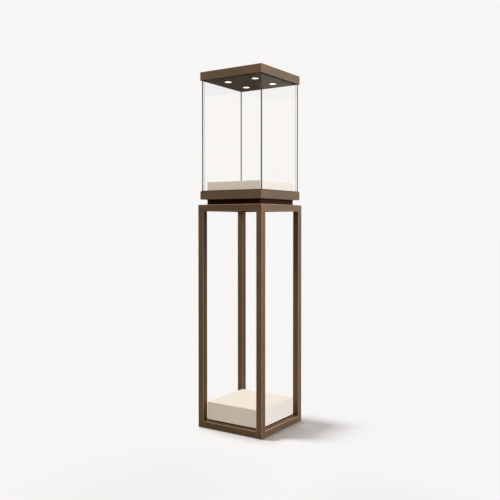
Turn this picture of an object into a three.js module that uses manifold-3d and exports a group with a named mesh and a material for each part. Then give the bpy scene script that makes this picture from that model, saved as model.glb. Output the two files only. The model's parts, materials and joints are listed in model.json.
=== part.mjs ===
// Pedestal display case: an open frame of square tube with a plinth block at its foot, and on top of
// it, over a recessed neck, a tray with a glass box and a lit canopy.
//
// Millimetres, +Z up. The origin is on the floor under the middle of the case, the front is -Y.
// Every height is worked out from the floor upwards: glides, frame, neck, tray, glass, canopy.

import * as THREE from "three";
import Module from "manifold-3d";
import { mergeVertices } from "three/addons/utils/BufferGeometryUtils.js";

// ---------------------------------------------------------------------------------------------
// Driving dimensions
// ---------------------------------------------------------------------------------------------

// Clearances
const weldGap = 0.3; // root gap that a weld fills between two frame tubes
const fitGap = 0.3; // between pieces that are assembled and stay together
const slideGap = 0.3; // round the glass, which lifts out of one gasket and carries the other
const holeGap = 0.3; // round a screw or a barrel in its hole
const buttonGap = 0.25; // round the switch button in its housing

// Frame of square tube
const frameSide = 350;
const frameHeight = 1030;
const tubeSide = 30;
const tubeWall = 2;
const tubeCorner = 2;
const basePlateThickness = 3;
const basePlateRise = 4; // underside of the base plate above the underside of the rails

// Glides under the corners
const glideRadius = 12;
const glideHeight = 2;
const glideChamfer = 0.6;

// Plinth block at the foot
const blockGap = 1.5; // between the casing and the posts
const blockTopAboveFrame = 115; // top of the block above the underside of the frame
const blockShadowGap = 4; // lower edge of the casing above the rails
const blockBoard = 12; // board that the casing and the carcass are made of
const blockCorner = 3;
const carcassGap = 0.5; // round the carcass inside the casing
const ballastGap = 9; // round the ballast plates inside the carcass
const ballastThickness = 12;
const ballastCount = 2;

// Neck between frame and tray
const neckReveal = 24; // height of the dark gap between frame and tray
const neckDrop = 24; // how far the neck reaches down into the top ring
const neckFlange = 24; // turned-in flange that carries the tray
const sheet = 2; // thickness of every folded sheet

// Bolts that hold the tray down
const boltRadius = 3;
const boltLength = 16;
const boltHeadRadius = 6;
const boltHeadHeight = 3.5;
const boltHeadChamfer = 1.8;
const weldNutRadius = 6.5;
const weldNutHeight = 5;

// Tray
const traySetback = 7; // tray and canopy inside the outline of the frame
const trayHeight = 38;
const trayCorner = 1.5;
const deckThickness = 18;
const deckRim = 20; // width of the rim that holds the deck off the tray's floor

// Exhibit block on the tray
const padGap = 9; // between the exhibit block and the glass
const padHeight = 43;
const padBoard = 12;
const padCorner = 3;

// Glass box
const glassSetback = 6; // glass inside the outline of the tray and the canopy
const glassThickness = 8;
const glassVisible = 510; // between the tray's rim and the canopy's lower edge
const glassEmbed = 8; // how far the glass reaches into the tray and into the canopy
const glassBond = 0.3; // adhesive between the panes
const glassArris = 0.8; // ground edge of a pane

// Glazing gaskets, one under the glass and one over it
const gasketLip = 1.5;
const gasketBase = 1.5;
const gasketStand = 3; // how far the lips show past the tray and the canopy

// Canopy
const canopyHeight = 38;
const canopyCorner = 1.5;
const ledgeOverhang = 8; // ledge inside the gasket that it rides on
const ledgeThickness = 3;
const soffitThickness = 3;
const soffitRecess = 3; // underside of the soffit above the canopy's lower edge
const pillarRadius = 4;
const pillarInset = 8; // centre of a pillar from the inner edge of the ledge
const soffitScrewRadius = 2;
const soffitScrewLength = 12;
const soffitScrewHead = 4;

// Downlights
const lampSpacing = 150;
const lampFlange = 4.5; // width of the trim ring's flange
const lampFlangeTaper = 2.5; // how far the flange draws in towards its face
const lampFlangeEdge = 1.5; // upright edge of the flange
const lampDrop = 5.5; // how far the trim ring stands below the soffit
const lampWall = 4; // wall of the barrel
const lampBarrelRise = 8; // barrel above the soffit
const lampBore = 15.5;
const lensSeat = 1.7; // how far the lens bears on the edge of the bore
const lensThickness = 2;
const lensDome = 0.8;
const lensRebate = 3; // depth of the lens's seat in the trim ring
const sinkBaseHeight = 4;
const sinkFinHeight = 12;
const sinkBossLength = 6;
const sinkFins = 12;
const sinkFinWidth = 2.4;
const sinkFinInset = 1; // tips of the fins inside the edge of the base
const sinkCore = 11; // radius that the fins stand on

// Battery pack, driver and harness
const cellRadius = 9.2;
const cellCount = 4;
const batteryCorner = 8; // the shrink wrap rounds over the outer cells
const batteryLength = 70;
const driverWidth = 60;
const driverDepth = 40;
const driverHeight = 16;
const driverCorner = 2;
const wireRadius = 2.5;

// Push switch in the back of the canopy
const switchBarrel = 6;
const switchWall = 1.55; // wall of the barrel round the button
const switchRim = 2; // width of the flange
const switchFlangeThickness = 2;
const switchDepth = 18; // barrel behind the flange
const switchNutRim = 2.5; // corner of the nut outside the barrel
const switchNutThickness = 3;
const buttonStand = 2.5; // button in front of the flange
const buttonTravel = 1.5;
const buttonStem = 8; // button behind the face of the flange
const buttonChamfer = 0.8;

// ---------------------------------------------------------------------------------------------
// Sizes worked out from them
// ---------------------------------------------------------------------------------------------

const frameBottom = glideHeight;
const frameTop = frameBottom + frameHeight;
const railTop = frameBottom + tubeSide;
const frameInnerHalf = frameSide / 2 - tubeSide;
const trayBottom = frameTop + neckReveal;
const trayTop = trayBottom + trayHeight;
const trayHalf = frameSide / 2 - traySetback;
const canopyHalf = trayHalf;
const canopyBottom = trayTop + glassVisible;
const canopyTop = canopyBottom + canopyHeight;

const glassHalf = trayHalf - glassSetback;
const glassInnerHalf = glassHalf - glassThickness;
const glassBottom = trayTop - glassEmbed;
const glassTop = canopyBottom + glassEmbed;
const gasketOuterHalf = glassHalf + slideGap + gasketLip;
const gasketInnerHalf = glassInnerHalf - slideGap - gasketLip;
const rimInnerHalf = gasketOuterHalf + fitGap; // opening of the tray and of the canopy
const fieldHalf = gasketInnerHalf - fitGap; // deck and soffit inside the gaskets
const gasketSeat = glassBottom - slideGap - gasketBase;
const gasketHead = glassTop + slideGap + gasketBase;

const padHalf = glassInnerHalf - padGap;
const blockHalf = frameInnerHalf - blockGap;
const blockTop = frameBottom + blockTopAboveFrame;
const blockBottom = railTop + blockShadowGap;
const basePlateTop = frameBottom + basePlateRise + basePlateThickness;
const carcassHalf = blockHalf - blockBoard - carcassGap;
const ballastHalf = carcassHalf - blockBoard - ballastGap;
const boltPlace = frameInnerHalf - fitGap - sheet - neckFlange / 2;
const ledgeTop = gasketHead + ledgeThickness;
const ledgeInnerHalf = gasketInnerHalf - ledgeOverhang;
const pillarPlace = ledgeInnerHalf - pillarInset;
const soffitBottom = canopyBottom + soffitRecess;
const soffitTop = soffitBottom + soffitThickness;
const lampBarrelRadius = lampBore + lampWall;
const lampFlangeRadius = lampBarrelRadius + lampFlange;
const lampBarrelTop = soffitThickness + lampBarrelRise;
const lensRadius = lampBore + lensSeat;
const sinkRadius = lampBarrelRadius - fitGap;
const lampReach = (lampSpacing / 2) * Math.SQRT2 + lampBarrelRadius;
const harnessRadius = (lampReach + ledgeInnerHalf) / 2; // midway between the lamps and the ledge
const wireHeight = soffitTop + fitGap + wireRadius;
const batteryHeight = 2 * cellRadius;
const batteryWidth = cellCount * 2 * cellRadius;
const switchLevel = (ledgeTop + canopyTop - sheet) / 2; // midway between the ledge and the top
const buttonRadius = switchBarrel - switchWall - buttonGap;

const cornerSegments = 3; // round the corner of a tube or a board
const wrapSegments = 5; // round a side of the battery pack
const roundSegments = 24; // round a lamp or a switch
const screwSegments = 16; // round a screw, a pillar or a glide
const loopSegments = 40; // round the harness
const leadSteps = 8; // along the lead up to the switch
const wireSides = 8;
const hexSides = 6; // round a nut
const domeSteps = 3; // from the middle of a lens to its edge
const tolerance = 1e-5; // under which two vertices are one
const over = 1; // how far a cutter runs past the face that it opens

// ---------------------------------------------------------------------------------------------
// Finishes
// ---------------------------------------------------------------------------------------------

function finish(color, roughness, metalness, opacity = 1) {
  return new THREE.MeshStandardMaterial({ color, roughness, metalness, opacity, transparent: opacity < 1 });
}

const finishes = {
  bronze: finish(0x6d5a46, 0.42, 0.55),
  darkBronze: finish(0x2a1c10, 0.5, 0.5),
  lacquer: finish(0xefe6d8, 0.55, 0),
  board: finish(0x4a3a2c, 0.8, 0),
  glass: finish(0xeef6f2, 0.03, 0, 0.3),
  rubber: finish(0x15120f, 0.8, 0),
  lens: finish(0xfff4de, 0.4, 0),
  aluminium: finish(0xb9bcc0, 0.4, 0.9),
  steel: finish(0x8d8f92, 0.4, 0.9),
  castIron: finish(0x3d3d3f, 0.7, 0.6),
  plastic: finish(0x1d1d1f, 0.5, 0),
  wrap: finish(0x2c4a63, 0.5, 0),
};

// ---------------------------------------------------------------------------------------------
// Solids
// ---------------------------------------------------------------------------------------------

const wasm = await Module();
wasm.setup();

// A closed geometry as a solid that can be joined and cut.
function solid(geometry) {
  const bare = geometry.clone();
  bare.deleteAttribute("normal");
  bare.deleteAttribute("uv");
  const merged = mergeVertices(bare, tolerance);
  return new wasm.Manifold(
    new wasm.Mesh({
      numProp: 3,
      vertProperties: Float32Array.from(merged.attributes.position.array),
      triVerts: Uint32Array.from(merged.index.array),
    }),
  );
}

// The geometry of a solid that has been joined or cut.
function geometryOf(body) {
  const mesh = body.getMesh();
  const geometry = new THREE.BufferGeometry();
  geometry.setAttribute("position", new THREE.BufferAttribute(Float32Array.from(mesh.vertProperties), 3));
  geometry.setIndex(new THREE.BufferAttribute(Uint32Array.from(mesh.triVerts), 1));
  geometry.computeVertexNormals();
  return geometry;
}

function cut(body, ...cutters) {
  return cutters.reduce((left, cutter) => left.subtract(cutter), body);
}

function join(body, ...others) {
  return others.reduce((whole, other) => whole.add(other), body);
}

// Outline of a rectangle with round corners, centred on the origin.
function roundedRectangle(width, depth, radius) {
  const x = width / 2;
  const y = depth / 2;
  const outline = new THREE.Shape();
  outline.absarc(x - radius, y - radius, radius, 0, Math.PI / 2);
  outline.absarc(radius - x, y - radius, radius, Math.PI / 2, Math.PI);
  outline.absarc(radius - x, radius - y, radius, Math.PI, 1.5 * Math.PI);
  outline.absarc(x - radius, radius - y, radius, 1.5 * Math.PI, 2 * Math.PI);
  outline.closePath();
  return outline;
}

function extruded(outline, lowZ, highZ, curveSegments = cornerSegments) {
  const geometry = new THREE.ExtrudeGeometry(outline, {
    depth: highZ - lowZ,
    bevelEnabled: false,
    curveSegments,
  });
  return geometry.translate(0, 0, lowZ);
}

// A square slab on the Z axis, from lowZ to highZ.
function slab(half, lowZ, highZ) {
  return new THREE.BoxGeometry(2 * half, 2 * half, highZ - lowZ).translate(0, 0, (lowZ + highZ) / 2);
}

function roundedSlab(half, radius, lowZ, highZ) {
  return extruded(roundedRectangle(2 * half, 2 * half, radius), lowZ, highZ);
}

// A square ring on the Z axis, from lowZ to highZ.
function ring(outerHalf, innerHalf, lowZ, highZ) {
  return cut(solid(slab(outerHalf, lowZ, highZ)), solid(slab(innerHalf, lowZ - over, highZ + over)));
}

// An upright round bar.
function bar(radius, lowZ, highZ, x = 0, y = 0, segments = roundSegments) {
  const geometry = new THREE.CylinderGeometry(radius, radius, highZ - lowZ, segments);
  return geometry.rotateX(Math.PI / 2).translate(x, y, (lowZ + highZ) / 2);
}

// A solid of revolution about the Z axis. The profile is a list of [radius, height] pairs that runs
// round the section; one that touches the axis starts and ends on it.
function turned(profile, segments = roundSegments) {
  const points = profile.map(([radius, height]) => new THREE.Vector2(radius, height));
  if (profile[0][0] > 0) {
    points.push(points[0].clone());
  }
  return new THREE.LatheGeometry(points, segments).rotateX(Math.PI / 2);
}

// The four corners of a square, counted from the front left one.
function corners(half) {
  return [
    [-half, -half],
    [half, -half],
    [half, half],
    [-half, half],
  ];
}

const model = new THREE.Group();
model.name = "pedestal_display_case";

function group(name) {
  const part = new THREE.Group();
  part.name = name;
  model.add(part);
  return part;
}

function addPiece(parent, name, geometry, material) {
  const mesh = new THREE.Mesh(geometry, material);
  mesh.name = name;
  parent.add(mesh);
  return mesh;
}

// ---------------------------------------------------------------------------------------------
// Frame
// ---------------------------------------------------------------------------------------------

// A length of upright square tube on the Z axis.
function tubeGeometry(lowZ, highZ) {
  const outside = solid(roundedSlab(tubeSide / 2, tubeCorner, lowZ, highZ));
  return geometryOf(cut(outside, solid(slab(tubeSide / 2 - tubeWall, lowZ - over, highZ + over))));
}

// The front rail of a ring, mitred at both ends, with its underside at lowZ. The tube is cut to the
// quarter of the plan that is its own, half a weld gap short of each diagonal.
function mitredRail(lowZ) {
  const tube = tubeGeometry(-frameSide / 2, frameSide / 2)
    .rotateY(Math.PI / 2)
    .translate(0, tubeSide / 2 - frameSide / 2, lowZ + tubeSide / 2);
  const quarter = new THREE.Shape();
  const apex = -weldGap / Math.SQRT2;
  quarter.moveTo(0, apex);
  quarter.lineTo(-frameSide, apex - frameSide);
  quarter.lineTo(frameSide, apex - frameSide);
  quarter.closePath();
  const envelope = roundedSlab(frameSide / 2, tubeCorner, lowZ - over, lowZ + tubeSide + over);
  const mitred = solid(tube).intersect(solid(extruded(quarter, lowZ - over, lowZ + tubeSide + over)));
  return geometryOf(mitred.intersect(solid(envelope)));
}

function glideGeometry() {
  return turned(
    [
      [0, 0],
      [glideRadius - glideChamfer, 0],
      [glideRadius, glideChamfer],
      [glideRadius, glideHeight],
      [0, glideHeight],
    ],
    screwSegments,
  );
}

function buildFrame() {
  const frame = group("frame");
  const sides = ["front", "right", "back", "left"];
  const places = ["front_left", "front_right", "back_right", "back_left"];
  const levels = { bottom: frameBottom, top: frameTop - tubeSide };
  for (const [level, lowZ] of Object.entries(levels)) {
    const rail = mitredRail(lowZ);
    sides.forEach((side, turn) => {
      addPiece(frame, `${level}_rail_${side}`, rail, finishes.bronze).rotation.z = (turn * Math.PI) / 2;
    });
  }
  const post = tubeGeometry(railTop, frameTop - tubeSide);
  corners(frameSide / 2 - tubeSide / 2).forEach(([x, y], index) => {
    addPiece(frame, `post_${places[index]}`, post, finishes.bronze).position.set(x, y, 0);
    addPiece(frame, `glide_${places[index]}`, glideGeometry(), finishes.plastic).position.set(x, y, 0);
  });
  const plateBottom = frameBottom + basePlateRise;
  const plate = slab(frameInnerHalf - fitGap, plateBottom, basePlateTop);
  addPiece(frame, "base_plate", plate, finishes.darkBronze);
}

// ---------------------------------------------------------------------------------------------
// Plinth block
// ---------------------------------------------------------------------------------------------

// A box of board that is open at the bottom, with round upright corners.
function openBottomBox(half, corner, board, lowZ, highZ) {
  const outside = solid(roundedSlab(half, corner, lowZ, highZ));
  return cut(outside, solid(slab(half - board, lowZ - over, highZ - board)));
}

function buildPlinthBlock() {
  const block = group("plinth_block");
  const casing = openBottomBox(blockHalf, blockCorner, blockBoard, blockBottom, blockTop);
  addPiece(block, "block_casing", geometryOf(casing), finishes.lacquer);

  const carcassTop = blockTop - blockBoard;
  const floorTop = basePlateTop + blockBoard;
  const carcass = cut(
    solid(slab(carcassHalf, basePlateTop, carcassTop)),
    solid(slab(carcassHalf - blockBoard, floorTop, carcassTop + over)),
  );
  addPiece(block, "block_carcass", geometryOf(carcass), finishes.board);

  for (let layer = 0; layer < ballastCount; layer += 1) {
    const lowZ = floorTop + layer * ballastThickness;
    const plate = slab(ballastHalf, lowZ, lowZ + ballastThickness);
    addPiece(block, `ballast_plate_${layer + 1}`, plate, finishes.castIron);
  }
}

// ---------------------------------------------------------------------------------------------
// Neck
// ---------------------------------------------------------------------------------------------

// Folded box let into the top ring: floor, walls, and a turned-in flange with weld nuts under it.
function neckGeometry() {
  const half = frameInnerHalf - fitGap;
  const lowZ = frameTop - neckDrop;
  const flangeBottom = trayBottom - sheet;
  let neck = cut(
    solid(slab(half, lowZ, trayBottom)),
    solid(slab(half - sheet, lowZ + sheet, flangeBottom)),
    solid(slab(half - sheet - neckFlange, flangeBottom - over, trayBottom + over)),
  );
  const nutBottom = flangeBottom - weldNutHeight;
  for (const [x, y] of corners(boltPlace)) {
    neck = join(neck, solid(bar(weldNutRadius, nutBottom, trayBottom, x, y, hexSides)));
  }
  for (const [x, y] of corners(boltPlace)) {
    const hole = bar(boltRadius + holeGap, nutBottom - over, trayBottom + over, x, y, screwSegments);
    neck = cut(neck, solid(hole));
  }
  return geometryOf(neck);
}

function buildNeck() {
  addPiece(group("neck"), "neck_box", neckGeometry(), finishes.darkBronze);
}

// ---------------------------------------------------------------------------------------------
// Tray
// ---------------------------------------------------------------------------------------------

// Folded tray with a floor, four sides and a rim turned in to the gasket.
function trayGeometry() {
  let tray = cut(
    solid(roundedSlab(trayHalf, trayCorner, trayBottom, trayTop)),
    solid(slab(trayHalf - sheet, trayBottom + sheet, trayTop - sheet)),
    solid(slab(rimInnerHalf, trayTop - sheet - over, trayTop + over)),
  );
  for (const [x, y] of corners(boltPlace)) {
    const hole = bar(boltRadius + holeGap, trayBottom - over, trayBottom + sheet + over, x, y, screwSegments);
    tray = cut(tray, solid(hole));
  }
  return geometryOf(tray);
}

// Bolt with its head's underside at height 0.
function boltGeometry() {
  return turned(
    [
      [0, -boltLength],
      [boltRadius, -boltLength],
      [boltRadius, 0],
      [boltHeadRadius, 0],
      [boltHeadRadius, boltHeadHeight - boltHeadChamfer],
      [boltHeadRadius - boltHeadChamfer, boltHeadHeight],
      [0, boltHeadHeight],
    ],
    screwSegments,
  );
}

// Deck board: a rim stands on the tray's floor, a ledge round it carries the gasket, and the field
// inside the gasket is flush with the tray's rim.
function deckGeometry() {
  const lowZ = trayBottom + sheet;
  const rim = solid(slab(gasketOuterHalf, lowZ, gasketSeat));
  const field = solid(slab(fieldHalf, gasketSeat - over, trayTop));
  const hollow = solid(slab(gasketOuterHalf - deckRim, lowZ - over, trayTop - deckThickness));
  return geometryOf(cut(join(rim, field), hollow));
}

// U-shaped gasket under the glass, standing on the deck's ledge.
function seatGasketGeometry() {
  const whole = ring(gasketOuterHalf, gasketInnerHalf, gasketSeat, trayTop + gasketStand);
  const channel = ring(
    glassHalf + slideGap,
    glassInnerHalf - slideGap,
    gasketSeat + gasketBase,
    trayTop + gasketStand + over,
  );
  return geometryOf(cut(whole, channel));
}

function buildTray() {
  const tray = group("tray");
  addPiece(tray, "tray_shell", trayGeometry(), finishes.bronze);
  corners(boltPlace).forEach(([x, y], index) => {
    const bolt = addPiece(tray, `tray_bolt_${index + 1}`, boltGeometry(), finishes.steel);
    bolt.position.set(x, y, trayBottom + sheet);
  });
  addPiece(tray, "deck_board", deckGeometry(), finishes.board);
  addPiece(tray, "seat_gasket", seatGasketGeometry(), finishes.rubber);
  const pad = openBottomBox(padHalf, padCorner, padBoard, trayTop, trayTop + padHeight);
  addPiece(tray, "exhibit_block", geometryOf(pad), finishes.lacquer);
}

// ---------------------------------------------------------------------------------------------
// Glass box
// ---------------------------------------------------------------------------------------------

// One upright pane, as wide as given and centred in its thickness, with ground edges all round.
function paneGeometry(width) {
  const height = glassTop - glassBottom;
  const outline = new THREE.Shape();
  outline.moveTo(-width / 2 + glassArris, -height / 2 + glassArris);
  outline.lineTo(width / 2 - glassArris, -height / 2 + glassArris);
  outline.lineTo(width / 2 - glassArris, height / 2 - glassArris);
  outline.lineTo(-width / 2 + glassArris, height / 2 - glassArris);
  outline.closePath();
  const pane = new THREE.ExtrudeGeometry(outline, {
    depth: glassThickness - 2 * glassArris,
    bevelEnabled: true,
    bevelThickness: glassArris,
    bevelSize: glassArris,
    bevelSegments: 1,
  });
  return pane.translate(0, 0, glassArris - glassThickness / 2).rotateX(Math.PI / 2);
}

function buildGlassBox() {
  const box = group("glass_box");
  const middle = (glassBottom + glassTop) / 2;
  const place = glassHalf - glassThickness / 2;
  const fullWidth = paneGeometry(2 * glassHalf);
  const between = paneGeometry(2 * (glassInnerHalf - glassBond));
  addPiece(box, "pane_front", fullWidth, finishes.glass).position.set(0, -place, middle);
  addPiece(box, "pane_back", fullWidth, finishes.glass).position.set(0, place, middle);
  const left = addPiece(box, "pane_left", between, finishes.glass);
  left.position.set(-place, 0, middle);
  left.rotation.z = Math.PI / 2;
  const right = addPiece(box, "pane_right", between, finishes.glass);
  right.position.set(place, 0, middle);
  right.rotation.z = Math.PI / 2;
}

// ---------------------------------------------------------------------------------------------
// Canopy
// ---------------------------------------------------------------------------------------------

// Folded cap: top, four sides and a rim turned in to the gasket, with a ledge that rides on the
// gasket's back and four pillars that the soffit hangs from.
function capGeometry() {
  let cap = cut(
    solid(roundedSlab(canopyHalf, canopyCorner, canopyBottom, canopyTop)),
    solid(slab(canopyHalf - sheet, canopyBottom + sheet, canopyTop - sheet)),
    solid(slab(rimInnerHalf, canopyBottom - over, canopyBottom + sheet + over)),
  );
  cap = join(cap, ring(canopyHalf - sheet / 2, ledgeInnerHalf, gasketHead, ledgeTop));
  for (const [x, y] of corners(pillarPlace)) {
    cap = join(cap, solid(bar(pillarRadius, soffitTop, canopyTop - sheet / 2, x, y, screwSegments)));
  }
  const threadTop = soffitBottom + soffitScrewLength + over;
  for (const [x, y] of corners(pillarPlace)) {
    cap = cut(cap, solid(bar(soffitScrewRadius + holeGap, soffitTop - over, threadTop, x, y, screwSegments)));
  }
  const switchHole = bar(switchBarrel + holeGap, canopyHalf - sheet - over, canopyHalf + over);
  switchHole.rotateX(-Math.PI / 2).translate(0, 0, switchLevel);
  return geometryOf(cut(cap, solid(switchHole)));
}

// U-shaped gasket over the glass, open downwards.
function headGasketGeometry() {
  const whole = ring(gasketOuterHalf, gasketInnerHalf, canopyBottom - gasketStand, gasketHead);
  const channel = ring(
    glassHalf + slideGap,
    glassInnerHalf - slideGap,
    canopyBottom - gasketStand - over,
    gasketHead - gasketBase,
  );
  return geometryOf(cut(whole, channel));
}

// Countersunk screw pointing up, with the face of its head at height 0.
function soffitScrewGeometry() {
  return turned(
    [
      [0, 0],
      [soffitScrewHead, 0],
      [soffitScrewRadius, soffitScrewHead - soffitScrewRadius],
      [soffitScrewRadius, soffitScrewLength],
      [0, soffitScrewLength],
    ],
    screwSegments,
  );
}

// What the screw needs cut out of the soffit.
function screwSinkGeometry() {
  const head = soffitScrewHead + holeGap;
  const shank = soffitScrewRadius + holeGap;
  return turned(
    [
      [0, -over],
      [head, -over],
      [head, 0],
      [shank, head - shank],
      [shank, soffitThickness + over],
      [0, soffitThickness + over],
    ],
    screwSegments,
  );
}

function soffitGeometry() {
  let soffit = solid(slab(fieldHalf, soffitBottom, soffitTop));
  for (const [x, y] of corners(lampSpacing / 2)) {
    soffit = cut(soffit, solid(bar(lampBarrelRadius + holeGap, soffitBottom - over, soffitTop + over, x, y)));
  }
  for (const [x, y] of corners(pillarPlace)) {
    soffit = cut(soffit, solid(screwSinkGeometry().translate(x, y, soffitBottom)));
  }
  return geometryOf(soffit);
}

// Trim ring of a downlight, turned about its axis. Height 0 is the underside of the soffit: the
// flange hangs below it and the barrel passes up through it.
function trimRingGeometry() {
  return turned([
    [lampBore, lensRebate - lampDrop],
    [lensRadius + fitGap, lensRebate - lampDrop],
    [lensRadius + fitGap, -lampDrop],
    [lampFlangeRadius - lampFlangeTaper, -lampDrop],
    [lampFlangeRadius, -lampFlangeEdge],
    [lampFlangeRadius, 0],
    [lampBarrelRadius, 0],
    [lampBarrelRadius, lampBarrelTop],
    [lampBore, lampBarrelTop],
  ]);
}

// Frosted lens, flat behind and domed in front, in the rebate of the trim ring.
function lensGeometry() {
  const back = lensRebate - lampDrop - fitGap;
  const front = back - lensThickness;
  const profile = [[0, front - lensDome]];
  for (let step = 1; step <= domeSteps; step += 1) {
    const angle = (step / domeSteps) * (Math.PI / 2);
    profile.push([lensRadius * Math.sin(angle), front - lensDome * Math.cos(angle)]);
  }
  profile.push([lensRadius, back], [0, back]);
  return turned(profile);
}

// Heat sink: a boss that carries the light source down into the barrel, a base on the barrel's end,
// and straight fins round a core.
function heatSinkGeometry() {
  const low = lampBarrelTop + fitGap;
  const base = turned([
    [0, low - sinkBossLength],
    [lampBore - fitGap, low - sinkBossLength],
    [lampBore - fitGap, low],
    [sinkRadius, low],
    [sinkRadius, low + sinkBaseHeight],
    [0, low + sinkBaseHeight],
  ]);
  const outline = [];
  for (let fin = 0; fin < sinkFins; fin += 1) {
    const middle = (2 * Math.PI * fin) / sinkFins;
    for (const [radius, side] of [
      [sinkCore, -1],
      [sinkRadius - sinkFinInset, -1],
      [sinkRadius - sinkFinInset, 1],
      [sinkCore, 1],
    ]) {
      const angle = middle + side * Math.asin(sinkFinWidth / 2 / radius);
      outline.push(new THREE.Vector2(radius * Math.cos(angle), radius * Math.sin(angle)));
    }
  }
  const finTop = low + sinkBaseHeight + sinkFinHeight;
  const fins = extruded(new THREE.Shape(outline), low + sinkBaseHeight / 2, finTop);
  return geometryOf(join(solid(base), solid(fins)));
}

// Battery pack: round cells side by side in a shrink wrap, flat above and below.
function batteryGeometry() {
  const outline = roundedRectangle(batteryWidth, batteryHeight, batteryCorner);
  return extruded(outline, -batteryLength / 2, batteryLength / 2, wrapSegments).rotateX(Math.PI / 2);
}

function driverGeometry() {
  return extruded(roundedRectangle(driverWidth, driverDepth, driverCorner), 0, driverHeight);
}

// A straight wire between two points at the harness's height.
function wireBetween(start, end) {
  const length = start.distanceTo(end);
  const wire = new THREE.CylinderGeometry(wireRadius, wireRadius, length, wireSides);
  const along = end.clone().sub(start).normalize();
  wire.applyQuaternion(new THREE.Quaternion().setFromUnitVectors(new THREE.Vector3(0, 1, 0), along));
  const middle = start.clone().add(end).multiplyScalar(0.5);
  return wire.translate(middle.x, middle.y, middle.z);
}

// Harness: a loop laid on the soffit round the lamps, with a branch to each lamp's barrel, to the
// driver and up to the switch.
function harnessGeometry(driverBack, switchEnd) {
  let harness = solid(new THREE.TorusGeometry(harnessRadius, wireRadius, wireSides, loopSegments));
  for (const [x, y] of corners(1)) {
    const way = new THREE.Vector3(x, y, 0).normalize();
    const start = way.clone().multiplyScalar(lampReach + fitGap);
    const end = way.clone().multiplyScalar(harnessRadius);
    harness = join(harness, solid(wireBetween(start, end)));
  }
  const loopBack = new THREE.Vector3(0, harnessRadius, 0);
  harness = join(harness, solid(wireBetween(new THREE.Vector3(0, driverBack, 0), loopBack)));
  const rise = switchEnd.z - wireHeight;
  const climb = new THREE.CatmullRomCurve3([
    loopBack,
    new THREE.Vector3(0, harnessRadius + wireRadius, rise / 2),
    new THREE.Vector3(0, (harnessRadius + switchEnd.y) / 2, rise),
    new THREE.Vector3(0, switchEnd.y, rise),
  ]);
  const section = new THREE.Shape().absarc(0, 0, wireRadius, 0, 2 * Math.PI);
  const lead = new THREE.ExtrudeGeometry(section, {
    steps: leadSteps,
    extrudePath: climb,
    curveSegments: wireSides,
  });
  return geometryOf(join(harness, solid(lead)));
}

// Switch housing turned about its axis, which points out of the canopy. Height 0 is the face of the
// canopy's side: the flange lies on it and the barrel passes in through it.
function switchHousingGeometry() {
  const bore = buttonRadius + buttonGap;
  const floor = switchFlangeThickness - buttonStem - buttonTravel - buttonGap;
  return turned([
    [0, -switchDepth],
    [switchBarrel, -switchDepth],
    [switchBarrel, 0],
    [switchBarrel + switchRim, 0],
    [switchBarrel + switchRim, switchFlangeThickness],
    [bore, switchFlangeThickness],
    [bore, floor],
    [0, floor],
  ]);
}

function buttonGeometry() {
  return turned([
    [0, switchFlangeThickness - buttonStem],
    [buttonRadius, switchFlangeThickness - buttonStem],
    [buttonRadius, switchFlangeThickness + buttonStand - buttonChamfer],
    [buttonRadius - buttonChamfer, switchFlangeThickness + buttonStand],
    [0, switchFlangeThickness + buttonStand],
  ]);
}

function switchNutGeometry() {
  const low = -sheet - fitGap - switchNutThickness;
  const nut = solid(bar(switchBarrel + switchNutRim, low, low + switchNutThickness, 0, 0, hexSides));
  const bore = solid(bar(switchBarrel + holeGap, low - over, low + switchNutThickness + over));
  return geometryOf(cut(nut, bore));
}

function buildDownlights(canopy) {
  const pieces = [
    ["trim_ring", trimRingGeometry(), finishes.darkBronze],
    ["lens", lensGeometry(), finishes.lens],
    ["heat_sink", heatSinkGeometry(), finishes.aluminium],
  ];
  corners(lampSpacing / 2).forEach(([x, y], index) => {
    for (const [name, geometry, material] of pieces) {
      addPiece(canopy, `lamp_${name}_${index + 1}`, geometry, material).position.set(x, y, soffitBottom);
    }
  });
}

function buildPower(canopy) {
  const batteryBack = driverDepth / 2 - fitGap;
  const battery = addPiece(canopy, "battery_pack", batteryGeometry(), finishes.wrap);
  battery.position.set(0, batteryBack - batteryLength / 2, soffitTop + batteryHeight / 2);
  const driverPlace = batteryBack + fitGap + driverDepth / 2;
  addPiece(canopy, "driver", driverGeometry(), finishes.plastic).position.set(0, driverPlace, soffitTop);

  const switchEnd = new THREE.Vector3(0, canopyHalf - switchDepth - fitGap, switchLevel);
  const driverBack = driverPlace + driverDepth / 2 + fitGap;
  const harness = addPiece(canopy, "harness", harnessGeometry(driverBack, switchEnd), finishes.rubber);
  harness.position.z = wireHeight;

  const pieces = [
    ["switch_housing", switchHousingGeometry(), finishes.plastic],
    ["switch_nut", switchNutGeometry(), finishes.steel],
    ["switch_button", buttonGeometry(), finishes.steel],
  ];
  for (const [name, geometry, material] of pieces) {
    const piece = addPiece(canopy, name, geometry, material);
    piece.position.set(0, canopyHalf, switchLevel);
    piece.rotation.x = -Math.PI / 2;
  }
}

function buildCanopy() {
  const canopy = group("canopy");
  addPiece(canopy, "canopy_cap", capGeometry(), finishes.bronze);
  addPiece(canopy, "head_gasket", headGasketGeometry(), finishes.rubber);
  addPiece(canopy, "soffit_panel", soffitGeometry(), finishes.darkBronze);
  corners(pillarPlace).forEach(([x, y], index) => {
    const screw = addPiece(canopy, `soffit_screw_${index + 1}`, soffitScrewGeometry(), finishes.steel);
    screw.position.set(x, y, soffitBottom);
  });
  buildDownlights(canopy);
  buildPower(canopy);
}

buildFrame();
buildPlinthBlock();
buildNeck();
buildTray();
buildGlassBox();
buildCanopy();

export default model;
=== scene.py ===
"""Pedestal display case: an open bronze frame, a tray, a glass box and a lit canopy.

Metres, +Z up, the front is -Y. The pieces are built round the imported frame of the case, whose nodes
give every place and most sizes. The studio at the end holds the floor, the lamps and the camera.
"""

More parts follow.
